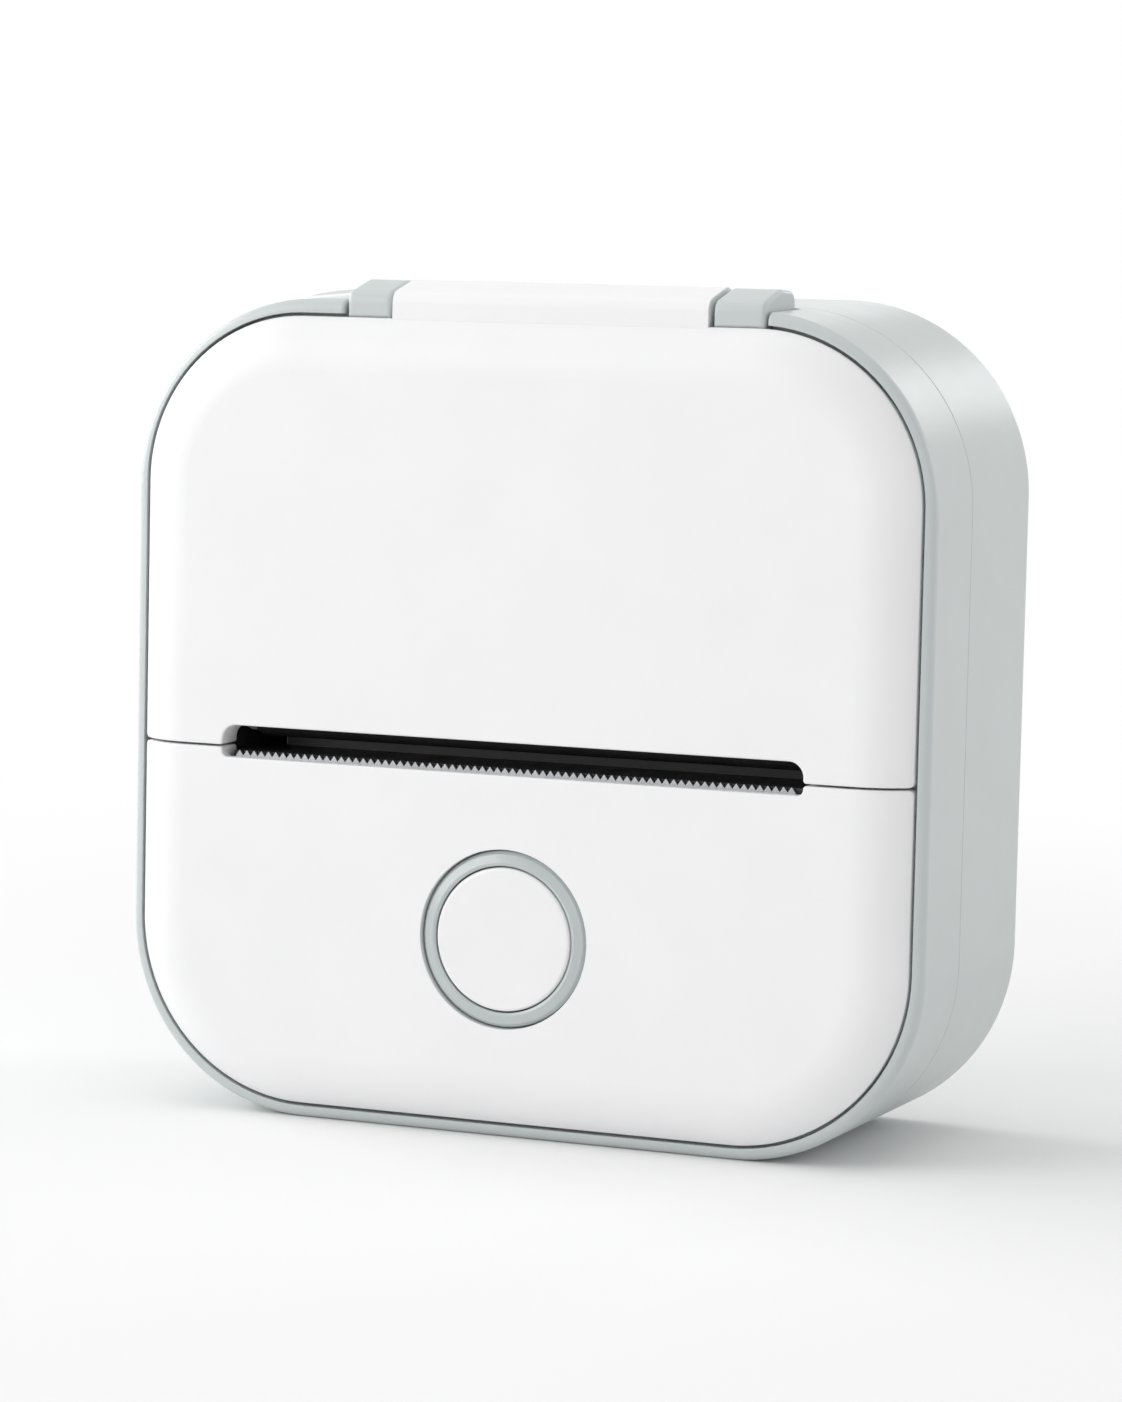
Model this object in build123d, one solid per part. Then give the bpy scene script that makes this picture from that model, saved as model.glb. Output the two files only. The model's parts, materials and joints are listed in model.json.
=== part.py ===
from build123d import *
import math
import os

# Pocket label printer for 57 mm paper rolls: a squarish case that stands on edge, with a white
# front panel in two halves. The upper half is a cover, hinged at the top, that carries the
# platen roller. Millimetres; the origin is on the ground under the middle of the object,
# +X is to the right seen from the front, +Y to the rear and +Z up.

# Case
case_width = 84.0
front_top = 81.42          # height of the case's top at the rim
back_top = 82.35           # and at the back, because the top rises slightly to the rear
case_depth = 30.0          # from the rim's front to the back face
case_corner = 19.0
dome_rise = 2.4            # how far the white panel stands in front of the rim
wall = 1.6
rim_width = 1.4            # rim seen round the panel at the sides and the bottom
seam_depth = 10.9          # from the rim's front to the seam between frame and rear shell
seam_round = 0.12
seam_gap = 0.04
rim_round = 1.0
back_round = 1.6
fit_gap = 0.02             # between pieces that are pressed or tapped together
running_gap = 0.05         # between a shaft and the hole that it turns in

# Front panel
panel_width = case_width - 2 * rim_width
panel_low = 1.5
panel_high = 79.75
panel_top_corner = 16.7
panel_bottom_corner = 17.8
crown_radius = 7.0         # rounding of the panel's edge
crown_overhang = 1.73      # how far the crown's own outline lies outside the panel's
panel_gap = 0.32
ledge_depth = 1.6          # from the rim's front to the ledge that the panel rests on
# How far the cover's edge reaches behind the rim's front, as (height, depth): less towards the
# top, so that it swings out of the frame without touching it
nested_edge = [(68.0, 1.65), (70.5, 1.3), (73.0, 0.75), (75.0, 0.42), (77.0, 0.22), (80.5, 0.03)]
split_height = 37.03
split_gap = 0.22
split_round = 0.2
slot_top_corner = 1.5
slot_bottom_corner = 0.6
split_corner = 0.3          # where the split meets the slot
split_end_corner = 0.5      # and the panel's sides

# Paper slot
slot_x = (-30.95, 30.35)
slot_low = 35.96
slot_high = 39.16
slot_surround = 33.0       # the wall round the slot is thicker out to here on both sides
slot_surround_depth = 3.2

# Button
button_x = -0.15
button_height = 19.94
button_radius = 7.05
ring_inner = 7.2
ring_outer = 8.63
ring_gap = 0.18
ring_flange = 9.8          # the ring's foot, behind the panel

# Hinge along the top edge, seen from the front
strap_x = (-14.2, 18.8)
left_block_x = (-19.15, -14.5)
right_block_x = (19.2, 24.45)
notch_x = (-19.5, 24.7)
notch_round = 0.35
barrel_radius = 2.1
barrel_gap = 0.2
hinge_height = 81.4
hinge_setback = 4.83       # hinge axis behind the rim's front
hinge_pin_radius = 0.8
block_back = 8.45          # back of the fixed hinge blocks behind the rim's front
block_round = 0.45

# Print mechanism
platen_radius = 3.6
platen_half = 29.3
platen_shaft_radius = 1.0
platen_height = 41.2
platen_setback = 4.5
bushing_radius = 2.2
chassis_half = 31.4        # inner faces of the chassis side plates
plate_thickness = 1.2
blade_x = (-30.0, 29.2)
blade_y = (1.25, 1.55)     # behind the panel's front
tooth_pitch = 0.8
tooth_height = 0.55
blade_tip = 36.6
blade_foot = 32.6
guide_half = 30.4
guide_z = (35.3, 36.5)

# Gear train, all of one module
module = 0.4
pressure_angle = math.radians(20)
addendum = 0.8 * module
dedendum = 1.1 * module
tooth_thinning = 0.06
platen_teeth = 20
idler_teeth = 30
small_teeth = 14
large_teeth = 36
pinion_teeth = 12
inner_gears = (-35.6, -33.8)
outer_gears = (-37.8, -36.2)
post_radius = 0.8

# Worked-out places
back_y = (case_depth + dome_rise) / 2
rim_y = back_y - case_depth
front_y = rim_y - dome_rise
seam_y = rim_y + seam_depth
ledge_y = rim_y + ledge_depth
inside_back_y = back_y - wall
inside_front_y = front_y + wall
middle_z = front_top / 2
hinge = (rim_y + hinge_setback, hinge_height)
platen = (rim_y + platen_setback, platen_height)
bin_half = chassis_half - 0.4
bin_floor = 47.0
bin_roof = 73.8
bin_back_y = inside_back_y - 0.2


# Plain shapes, each given by its limits along the three axes
def block(x, y, z):
    centre = Pos((x[0] + x[1]) / 2, (y[0] + y[1]) / 2, (z[0] + z[1]) / 2)
    return centre * Box(x[1] - x[0], y[1] - y[0], z[1] - z[0])


def rod_x(x, yz, radius):
    return Pos((x[0] + x[1]) / 2, yz[0], yz[1]) * Rot(0, 90, 0) * Cylinder(radius, x[1] - x[0])


def rod_y(xz, y, radius):
    return Pos(xz[0], (y[0] + y[1]) / 2, xz[1]) * Rot(90, 0, 0) * Cylinder(radius, y[1] - y[0])


def along_x(face, x):
    """Extrude a sketch, drawn with depth across and height up, from x[0] to x[1]."""
    plane = Plane(origin=(x[0], 0, 0), x_dir=(0, 1, 0), z_dir=(1, 0, 0))
    return extrude(plane * face, x[1] - x[0], dir=(1, 0, 0))


def along_y(face, y):
    """Extrude a sketch, drawn as seen from the front, from y[0] to y[1]."""
    plane = Plane(origin=(0, y[1], 0), x_dir=(1, 0, 0), z_dir=(0, -1, 0))
    return extrude(plane * face, y[1] - y[0], dir=(0, -1, 0))


def polygon(points):
    return Polygon(*points, align=None)


def both_sides(piece):
    return piece + mirror(piece, about=Plane.YZ)


def case_slab(inset, y):
    """The case's outline, smaller by inset all round, between two depths."""
    ends = []
    for depth in y:
        top = front_top + (back_top - front_top) * (depth - rim_y) / case_depth
        face = RectangleRounded(case_width - 2 * inset, top - 2 * inset, case_corner - inset)
        plane = Plane(origin=(0, depth, 0), x_dir=(1, 0, 0), z_dir=(0, -1, 0))
        ends.append(plane * Pos(0, top / 2) * face)
    return loft(ends, ruled=True)


def panel_slab(grow, y):
    """The white panel's outline, larger by grow all round, between two depths."""
    face = Rectangle(panel_width + 2 * grow, panel_high - panel_low + 2 * grow)
    face = fillet(face.vertices().filter_by(lambda v: v.Y > 0), panel_top_corner + grow)
    face = fillet(face.vertices().filter_by(lambda v: v.Y < -panel_high / 3 and abs(v.X) > case_width / 3),
                  panel_bottom_corner + grow)
    return along_y(Pos(0, (panel_low + panel_high) / 2) * face, y)


def pillow(inset):
    """The panel's domed block, inset from its outer surface."""
    dome = panel_slab(crown_overhang - inset, (front_y + inset, ledge_y + 8))
    dome = fillet(dome.faces().sort_by(Axis.Y)[0].edges(), crown_radius - inset)
    return dome & panel_slab(-inset, (front_y + inset, ledge_y - 0.1 + inset))


# Shell bosses stand in the four corners, two above beside the paper and two at the bottom
shell_bosses = [(35.2, 68.0), (-35.2, 68.0), (27.0, 6.4), (-27.0, 6.4)]
shell_boss_radius = 2.6
shell_screw_radius = 1.0
shell_boss_split = 4.9
shell_screw_seat = back_y - 3.0
shell_screw_head = 1.9
shell_screw_length = 13.5
chassis_boss_radius = 2.4
chassis_screw_radius = 1.0
chassis_screw_length = 6.0
battery_rib_x = (-12.0, 21.0)
battery_rib_z = (4.0, 32.0)
lip_inset = 0.85           # tongue of the rear shell that fits inside the front frame
frame_flange = 3.2         # how far the frame's front flange reaches inwards
chassis_bosses = [(26.0, 39.5), (-26.0, 39.5)]
beam_y = (0.4, 1.6)
board_bosses = [(-14.5, 28.5), (20.0, 28.5), (20.0, 6.5), (-14.5, 6.5)]
board_y = (-8.6, -7.6)


def make_rear_shell():
    shell = case_slab(0, (seam_y + seam_gap, back_y))
    shell = fillet(shell.faces().sort_by(Axis.Y)[-1].edges(), back_round)
    shell = fillet(shell.faces().sort_by(Axis.Y)[0].edges(), seam_round)
    shell -= case_slab(wall, (seam_y - 1, inside_back_y))
    lip = case_slab(lip_inset, (seam_y - 1.5, seam_y + 1)) - case_slab(wall, (seam_y - 2, seam_y + 2))
    shell += lip
    for place in shell_bosses:
        shell += rod_y(place, (shell_boss_split + 0.1, inside_back_y + 0.2), shell_boss_radius)
    for place in chassis_bosses:
        shell += rod_y(place, (beam_y[1] + 0.05, inside_back_y + 0.2), chassis_boss_radius)
    for x in battery_rib_x:
        shell += block((x - 0.6, x + 0.6), (battery_y[1] + 0.1, inside_back_y + 0.2), battery_rib_z)
    for place in shell_bosses:
        shell -= rod_y(place, (0, back_y + 1), shell_screw_radius + 0.1)
        shell -= rod_y(place, (shell_screw_seat, back_y + 1), shell_screw_head + 0.2)
    for place in chassis_bosses:
        shell -= rod_y(place, (0, 10.0), chassis_screw_radius + fit_gap)
    socket = RectangleRounded(socket_size[0] + 0.6, socket_size[1] + 0.6, socket_size[1] / 2)
    shell -= along_y(Pos(socket_place[0], socket_place[1]) * socket, (inside_back_y - 1, back_y + 1))
    return shell


def make_front_frame():
    frame = case_slab(0, (rim_y, seam_y))
    frame = fillet(frame.faces().sort_by(Axis.Y)[0].edges(), rim_round)
    frame = fillet(frame.faces().sort_by(Axis.Y)[-1].edges(), seam_round)
    frame -= case_slab(wall, (ledge_y + 1.4, seam_y + 1))
    frame -= case_slab(0.8, (seam_y - 1.6, seam_y + 1))
    frame -= case_slab(frame_flange, (rim_y - 1, seam_y))
    frame -= panel_slab(panel_gap, (rim_y - 1, ledge_y))
    for x, z in shell_bosses:
        boss = rod_y((x, z), (ledge_y, shell_boss_split), shell_boss_radius)
        toward = 1 if x > 0 else -1
        if z > middle_z:
            web = block(sorted((x, toward * 41.0)), (ledge_y, shell_boss_split), (z - 0.8, z + 0.8))
        else:
            web = block((x - 0.8, x + 0.8), (ledge_y, shell_boss_split), (0.5, z))
        boss = (boss + web) & case_slab(wall - 0.3, (ledge_y, seam_y - 1.8))
        boss += rod_y((x, z), (seam_y - 2, shell_boss_split), shell_boss_radius)
        frame += boss
        frame -= rod_y((x, z), (-6.0, shell_boss_split + 1), shell_screw_radius + fit_gap)
    notch_z = (hinge[1] - 5, back_top + 2)
    frame -= block(notch_x, (rim_y - 1, hinge[0]), notch_z)
    for x in ((notch_x[0], strap_x[0] - 0.15), (strap_x[1] + 0.15, notch_x[1])):
        frame -= block(x, (hinge[0] - 1, rim_y + block_back + fit_gap), notch_z)
    frame -= rod_x((strap_x[0] - 0.15, strap_x[1] + 0.15), hinge, barrel_radius + barrel_gap)
    frame = fillet(frame.edges().filter_by(is_notch_edge), notch_round)
    return frame + make_eyelet_pad() - make_eyelet_outline(fit_gap)


def is_notch_edge(edge):
    """Outer edges of the frame at the two ends of the hinge notch."""
    middle = edge.center()
    at_end = min(abs(middle.X - x) for x in notch_x) < 0.01
    across = abs(edge.tangent_at(0.5).X) < 0.01
    above = middle.Z > panel_high + panel_gap + 0.05
    outside = middle.Z > front_top - 0.5 or middle.Y < rim_y + 0.5
    return at_end and across and above and outside and middle.Y < hinge[0] + 3


# Hinge pieces, as seen from the right: a front wall, a knee, a slope and a rounded back
knee_round = 1.3
strap_slope = math.radians(15)


def make_strap():
    y, z = hinge
    front = rim_y - 0.15
    touch = (y - barrel_radius * math.sin(strap_slope), z + barrel_radius * math.cos(strap_slope))
    knee = (front, touch[1] - (touch[0] - front) * math.tan(strap_slope))
    arm = polygon([(front, z - 4.2), knee, touch, (y, z), (y - 1.2, z - 1.7), (front + 2.0, z - 4.2)])
    arm = fillet(arm.vertices().sort_by_distance((knee[0], knee[1], 0))[0], knee_round)
    return along_x(arm + Pos(y, z) * Circle(barrel_radius), strap_x)


def make_hinge_block(x):
    y, z = hinge
    front = rim_y + 0.05
    back = rim_y + block_back
    knee = (front, z + 0.8)
    crest = (y - 0.1, z + 2.05)
    corner = (back, z + 1.85)
    points = [(front, z - 1.4), knee, crest, corner, (back, z - 3.2), (front + 1.2, z - 3.2)]
    profile = polygon(points)
    for place, radius in ((knee, knee_round), (crest, 3.0), (corner, 1.3)):
        vertex = profile.vertices().sort_by_distance((place[0], place[1], 0))[0]
        profile = fillet(vertex, radius)
    piece = along_x(profile, x)
    outline = piece.edges().filter_by(lambda e: e.center().Z > z - 0.8 and abs(e.tangent_at(0.5).X) < 0.1)
    piece = fillet(outline, block_round)
    piece += block(x, (y, back + 4.0), (front_top - wall - 2.0, front_top - wall - 0.05))
    middle = (x[0] + x[1]) / 2
    reach = (middle - 2.0, middle + 4.0) if middle < 0 else (middle - 4.0, middle + 2.0)
    return piece - rod_x(reach, hinge, hinge_pin_radius + fit_gap)


def make_hinge_pin():
    ends = (sum(left_block_x) / 2 - 1.9, sum(right_block_x) / 2 + 1.9)
    return rod_x(ends, hinge, hinge_pin_radius)


# Low white loop round the hand-strap eye on the case's top, left of the hinge. Its top rises to
# the right and to the rear, and the case stands up as a pad inside it
eyelet_x = (-26.1, -14.0)
eyelet_y = (rim_y + 1.8, rim_y + 8.3)
eyelet_strand = 1.0
eyelet_round = 0.25
eyelet_middle = (-21.2, rim_y + 5.05)
eyelet_top = 82.18         # height of the loop's top there, and how it rises along x and y
eyelet_slope = (0.1, 0.089)
pad_top = 82.1             # the pad inside starts lower and rises faster
pad_slope = (0.1, 0.15)


def below_slope(solid, height, slope):
    """The part of a solid that lies below a plane, given by its height at the loop's middle."""
    origin = (eyelet_middle[0], eyelet_middle[1], height)
    plane = Plane(origin=origin, z_dir=(-slope[0], -slope[1], 1))
    return solid - plane * Pos(0, 0, 10) * Box(60, 60, 20)


def eyelet_column(inset):
    """Upright column in the loop's outline, smaller by inset, that ends at the hinge notch."""
    width = eyelet_x[1] - eyelet_x[0] - 2 * inset
    depth = eyelet_y[1] - eyelet_y[0] - 2 * inset
    face = RectangleRounded(width, depth, depth / 2 - 0.1)
    centre = Pos(sum(eyelet_x) / 2, sum(eyelet_y) / 2, front_top - 3)
    return centre * extrude(face, 5) - block((notch_x[0], 0), (-20, 20), (70, 90))


def make_eyelet_outline(grow):
    ring = eyelet_column(-grow) - eyelet_column(eyelet_strand + grow)
    return ring - case_slab(0.9 + grow, (rim_y - 1, back_y))


def make_eyelet_pad():
    pad = eyelet_column(eyelet_strand / 2) - case_slab(0.5, (rim_y - 1, back_y))
    return below_slope(pad, pad_top, pad_slope)


def make_strap_eyelet():
    loop = below_slope(make_eyelet_outline(0), eyelet_top, eyelet_slope)
    top = loop.faces().sort_by(Axis.Z)[-1]
    return fillet(top.edges().filter_by(lambda e: e.center().X < notch_x[0] - 0.05), eyelet_round)


# The two halves of the white panel
def make_upper_cover():
    low = split_height + split_gap / 2
    face = block((-50, 50), (0, 1), (low, 90)) & panel_slab(0, (0, 1))
    face -= block(slot_x, (-1, 2), (low - 1, slot_high))
    side = panel_width / 2
    corners = [(x, low, split_end_corner) for x in (-side, side)]
    corners += [(x, low, split_corner) for x in slot_x]
    corners += [(x, slot_high, slot_top_corner) for x in slot_x]
    body = soften_front_edges(pillow(0) & round_front_corners(face, corners), slot_high + 0.1)
    cover = body - pillow(wall)
    behind = [(rim_y + depth, height) for height, depth in nested_edge]
    behind += [(0, nested_edge[-1][0]), (0, nested_edge[0][0])]
    cover -= along_x(polygon(behind), (-50, 50))
    thick = block((-slot_surround, slot_surround), (front_y, inside_front_y + 0.9), (low, slot_high + 2.0))
    side_y = (front_y, front_y + slot_surround_depth)
    thick += both_sides(block((slot_x[1], slot_surround), side_y, (low, slot_high + 2.0)))
    cover += thick & body
    cover += make_strap()
    for x, z in cover_bosses:
        cover += rod_y((x, z), (inside_front_y - 0.3, liner_y[0] - 0.02), 2.0)
        cover -= rod_y((x, z), (front_y + 0.8, liner_y[0] + 1), 0.75 + fit_gap)
    cover -= rod_x((strap_x[0] - 1, strap_x[1] + 1), hinge, hinge_pin_radius + running_gap)
    return cover


def round_front_corners(face, corners):
    """Lengthen a thin slice to a cutter and round its edges that run from front to back."""
    cutter = face
    for x, z, radius in corners:
        edges = cutter.edges().filter_by(Axis.Y).filter_by(
            lambda e: abs(e.center().X - x) < 0.05 and abs(e.center().Z - z) < 0.05)
        cutter = fillet(edges, radius)
    section = cutter.faces().sort_by(Axis.Y)[0]
    return Pos(0, front_y - 1, 0) * extrude(section, 12, dir=(0, 1, 0))


def soften_front_edges(body, below, above=0):
    """Round the front edges of a panel half along the split and the slot, between two heights."""
    front = body.faces().sort_by(Axis.Y)[0]
    edges = front.edges().filter_by(
        lambda e: above < e.center().Z < below and abs(e.center().X) < 35)
    return fillet(edges, split_round)


bottom_tab_x = (-12.0, 12.0)
bottom_tab_half = 3.0
side_tab_z = (26.0, 31.0)


def make_lower_front_shell():
    high = split_height - split_gap / 2
    face = block((-50, 50), (0, 1), (-1, high)) & panel_slab(0, (0, 1))
    face -= block(slot_x, (-1, 2), (slot_low, high + 1))
    side = panel_width / 2
    corners = [(x, high, split_end_corner) for x in (-side, side)]
    corners += [(x, high, split_corner) for x in slot_x]
    corners += [(x, slot_low, slot_bottom_corner) for x in slot_x]
    body = soften_front_edges(pillow(0) & round_front_corners(face, corners), 90, slot_low - 0.1)
    shell = body - pillow(wall)
    side_y = (front_y, front_y + slot_surround_depth)
    ends = both_sides(block((slot_x[1], slot_surround), side_y, (slot_low - 3, high)))
    shell += ends & body
    for place in board_bosses:
        shell += rod_y(place, (inside_front_y - 0.3, board_y[0] - 0.02), 2.0)
        shell -= rod_y(place, (inside_front_y + 0.6, board_y[0] + 1), 0.8 + fit_gap)
    for x in bottom_tab_x:
        low = panel_low + 3.4 - rim_width
        across = (x - bottom_tab_half, x + bottom_tab_half)
        shell += block(across, (inside_front_y - 0.3, ledge_y + 2.6), (low, low + 1.0))
        shell += block(across, (ledge_y + 1.5, ledge_y + 2.6), (low - 0.7, low + 0.1))
    side = case_width / 2 - 3.3
    tab = block((side - 1.0, side), (inside_front_y - 0.3, ledge_y + 2.6), side_tab_z)
    tab += block((side - 0.1, side + 0.7), (ledge_y + 1.5, ledge_y + 2.6), side_tab_z)
    shell += both_sides(tab)
    shell -= block(slot_x, (front_y + 1.2, rim_y + 2), (32.2, slot_low + 1))
    shell -= rod_y((button_x, button_height), (front_y - 1, rim_y + 2), ring_outer + ring_gap)
    return shell


# Button, its ring and the switch behind it
ring_back_y = rim_y + 0.1
switch_front_y = -11.6
switch_half = 3.0
plunger_front_y = -12.3
plunger_radius = 1.5
skirt_radius = 6.9         # the cap's skirt, which slides in the ring
skirt_bore = 5.7
cap_flange_radius = 8.2    # stops the cap from coming out forwards
cap_flange_bore = 6.0
cap_stem_radius = 1.8


def make_button_ring():
    crest = (ring_inner + 0.25, front_y)
    shoulder = (ring_outer - 0.3, front_y + 0.25)
    points = [(ring_inner, ring_back_y), (ring_inner, front_y + 0.15), crest, shoulder,
              (ring_outer, front_y + 0.6), (ring_outer, inside_front_y + 0.1),
              (ring_flange, inside_front_y + 0.1), (ring_flange, ring_back_y)]
    face = polygon(points)
    for place in (crest, shoulder):
        face = fillet(face.vertices().sort_by_distance((place[0], place[1], 0))[0], 0.2)
    ring = revolve(Plane.XY * face, Axis.Y)
    return Pos(button_x, 0, button_height) * ring


def make_button_cap():
    place = (button_x, button_height)
    cap = rod_y(place, (front_y, inside_front_y), button_radius)
    cap = fillet(cap.faces().sort_by(Axis.Y)[0].edges(), 0.35)
    skirt = rod_y(place, (inside_front_y - 0.1, ring_back_y + 0.8), skirt_radius)
    skirt -= rod_y(place, (inside_front_y, ring_back_y + 2), skirt_bore)
    flange = rod_y(place, (ring_back_y + 0.1, ring_back_y + 0.8), cap_flange_radius)
    flange -= rod_y(place, (ring_back_y - 1, ring_back_y + 2), cap_flange_bore)
    stem = rod_y(place, (inside_front_y - 0.1, plunger_front_y), cap_stem_radius)
    return cap + skirt + flange + stem


def make_switch_body():
    sides = (button_x - switch_half, button_x + switch_half)
    heights = (button_height - switch_half, button_height + switch_half)
    body = block(sides, (switch_front_y, board_y[0]), heights)
    hole_y = (switch_front_y - 1, switch_front_y + 1.6)
    body -= rod_y((button_x, button_height), hole_y, plunger_radius + running_gap)
    return body


def make_switch_plunger():
    return rod_y((button_x, button_height), (plunger_front_y, switch_front_y + 0.8), plunger_radius)


# Tear blade: a strip of spring steel with a saw edge that stands just above the slot's lip
def make_tear_blade():
    root = blade_tip - tooth_height
    count = round((blade_x[1] - blade_x[0]) / tooth_pitch)
    points = [(blade_x[0], blade_foot), (blade_x[0], root)]
    for tooth in range(count):
        left = blade_x[0] + tooth * tooth_pitch
        points.append((left + tooth_pitch / 2, blade_tip))
        points.append((left + tooth_pitch, root))
    points.append((blade_x[0] + count * tooth_pitch, blade_foot))
    return along_y(polygon(points), (front_y + blade_y[0], front_y + blade_y[1]))


def make_paper_guide():
    front = front_y + 1.7
    back = platen[0] + 2.9
    across = (-guide_half, guide_half)
    guide = block(across, (front, back), guide_z)
    guide += block(across, (front, front + 1.1), (blade_foot, guide_z[0] + 0.1))
    guide += block((-28.0, 28.0), (back - 0.9, back), (guide_z[1] - 0.1, guide_z[1] + 0.9))
    wings = (-chassis_half + 0.05, chassis_half - 0.05)
    return guide + block(wings, (front + 1.9, platen[0] + 2.3), guide_z)


# Gear places: each gear lies at its pitch distance from the last, in a direction given in degrees
# from the rear towards the top
def pitch_radius(teeth):
    return module * teeth / 2


def next_centre(centre, teeth_a, teeth_b, degrees):
    reach = pitch_radius(teeth_a) + pitch_radius(teeth_b)
    angle = math.radians(degrees)
    return (centre[0] + reach * math.cos(angle), centre[1] + reach * math.sin(angle))


def meshed_phase(phase, teeth_a, teeth_b, degrees):
    """Angle of a tooth of gear b that puts a gap of b round the nearest tooth of gear a."""
    step = 360 / teeth_a
    offset = (phase - degrees + step / 2) % step - step / 2
    return degrees + 180 - offset * teeth_a / teeth_b + 180 / teeth_b


platen_to_idler = -20.0
idler_to_compound = -80.0
compound_to_motor = -75.0
idler = next_centre(platen, platen_teeth, idler_teeth, platen_to_idler)
compound = next_centre(idler, idler_teeth, small_teeth, idler_to_compound)
motor = next_centre(compound, large_teeth, pinion_teeth, compound_to_motor)
platen_phase = platen_to_idler
idler_phase = meshed_phase(platen_phase, platen_teeth, idler_teeth, platen_to_idler)
small_phase = meshed_phase(idler_phase, idler_teeth, small_teeth, idler_to_compound)
large_phase = compound_to_motor
pinion_phase = meshed_phase(large_phase, large_teeth, pinion_teeth, compound_to_motor)


def gear(teeth, centre, phase, x):
    """Spur gear with involute flanks, each flank drawn as one arc through three of its points."""
    pitch = pitch_radius(teeth)
    base = pitch * math.cos(pressure_angle)
    tip = pitch + addendum
    root = pitch - dedendum
    start = max(base, root) + 0.001

    def half_angle(radius):
        turn = math.acos(base / radius)
        pitch_half = math.pi / (2 * teeth) - tooth_thinning / (2 * pitch)
        involute_pitch = math.tan(pressure_angle) - pressure_angle
        return pitch_half + involute_pitch - (math.tan(turn) - turn)

    def point(radius, angle):
        return Vector(x[0], centre[0] + radius * math.cos(angle), centre[1] + radius * math.sin(angle))

    edges = []
    middle = (start + tip) / 2
    for tooth in range(teeth):
        axis = math.radians(phase) + 2 * math.pi * tooth / teeth
        flank = [(root, half_angle(start)), (start, half_angle(start)),
                 (middle, half_angle(middle)), (tip, half_angle(tip))]
        near = [point(radius, axis - half) for radius, half in flank]
        far = [point(radius, axis + half) for radius, half in flank]
        next_root = point(root, axis + 2 * math.pi / teeth - half_angle(start))
        edges.append(Edge.make_line(near[0], near[1]))
        edges.append(Edge.make_three_point_arc(near[1], near[2], near[3]))
        edges.append(Edge.make_three_point_arc(near[3], point(tip, axis), far[3]))
        edges.append(Edge.make_three_point_arc(far[3], far[2], far[1]))
        edges.append(Edge.make_line(far[1], far[0]))
        edges.append(Edge.make_three_point_arc(far[0], point(root, axis + math.pi / teeth), next_root))
    return extrude(Face(Wire(edges)), x[1] - x[0], dir=(1, 0, 0))


plate_outer = chassis_half + plate_thickness
hub_end = -plate_outer - 0.15


def make_platen_gear():
    wheel = gear(platen_teeth, platen, platen_phase, inner_gears)
    wheel += rod_x((inner_gears[1] - 0.1, hub_end), platen, 1.8)
    return wheel - rod_x((-40, -30), platen, platen_shaft_radius + fit_gap)


def make_idler_gear():
    wheel = gear(idler_teeth, idler, idler_phase, inner_gears)
    wheel += rod_x((inner_gears[1] - 0.1, hub_end), idler, 1.7)
    for side in ((inner_gears[0] - 1, inner_gears[0] + 0.5), (inner_gears[1] - 0.5, inner_gears[1] + 1)):
        ring = rod_x(side, idler, pitch_radius(idler_teeth) - 1.2) - rod_x(side, idler, 2.4)
        wheel -= ring
    return wheel - rod_x((-40, -30), idler, post_radius + running_gap)


def make_compound_gear():
    wheel = gear(small_teeth, compound, small_phase, (outer_gears[1] - 0.1, inner_gears[1]))
    wheel += gear(large_teeth, compound, large_phase, outer_gears)
    wheel += rod_x((inner_gears[1] - 0.1, hub_end), compound, 1.7)
    ring_x = (outer_gears[0] - 1, outer_gears[0] + 0.5)
    wheel -= rod_x(ring_x, compound, pitch_radius(large_teeth) - 1.3) - rod_x(ring_x, compound, 2.4)
    return wheel - rod_x((-42, -30), compound, post_radius + running_gap)


def make_motor_pinion():
    wheel = gear(pinion_teeth, motor, pinion_phase, (outer_gears[0] - 0.1, outer_gears[1] + 0.1))
    return wheel - rod_x((-42, -30), motor, motor_shaft_radius + fit_gap)


def make_gear_posts():
    posts = rod_x((inner_gears[0] - 0.7, -chassis_half), idler, post_radius)
    return posts + rod_x((outer_gears[0] - 0.7, -chassis_half), compound, post_radius)


def make_clip(end, centre, shaft_radius):
    """Thin split ring that stops a wheel from sliding off its post."""
    ring = rod_x((end, end + 0.25), centre, shaft_radius + 0.8) - rod_x((end - 1, end + 1), centre, shaft_radius)
    return ring - block((end - 1, end + 1), (centre[0] - 3, centre[0]), (centre[1] - 0.5, centre[1] + 0.5))


def make_gear_clips():
    clips = make_clip(inner_gears[0] - 0.4, idler, post_radius)
    return clips + make_clip(outer_gears[0] - 0.4, compound, post_radius)


# Motor: a can with a flange, coils inside it and a magnet rotor on the shaft
motor_radius = 7.5
motor_shaft_radius = 0.75
motor_flange_x = (-chassis_half, -chassis_half + 0.8)
motor_end_x = -22.0
flange_reach = 9.0
flange_angle = math.radians(35)
flange_step = (flange_reach * math.cos(flange_angle), flange_reach * math.sin(flange_angle))
motor_ears = [(motor[0] + side * flange_step[0], motor[1] + side * flange_step[1]) for side in (1, -1)]


def make_motor_can():
    can = rod_x((motor_flange_x[0], motor_end_x), motor, motor_radius)
    for ear in motor_ears:
        can += rod_x(motor_flange_x, ear, 2.0)
        inward = (0.6 * ear[0] + 0.4 * motor[0], 0.6 * ear[1] + 0.4 * motor[1])
        can += rod_x(motor_flange_x, inward, 3.0)
        can -= rod_x((-40, -20), ear, 0.9)
    can -= rod_x((motor_flange_x[1], motor_end_x - 0.6), motor, motor_radius - 0.6)
    return can - rod_x((-40, motor_end_x - 0.3), motor, motor_shaft_radius + running_gap)


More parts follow.
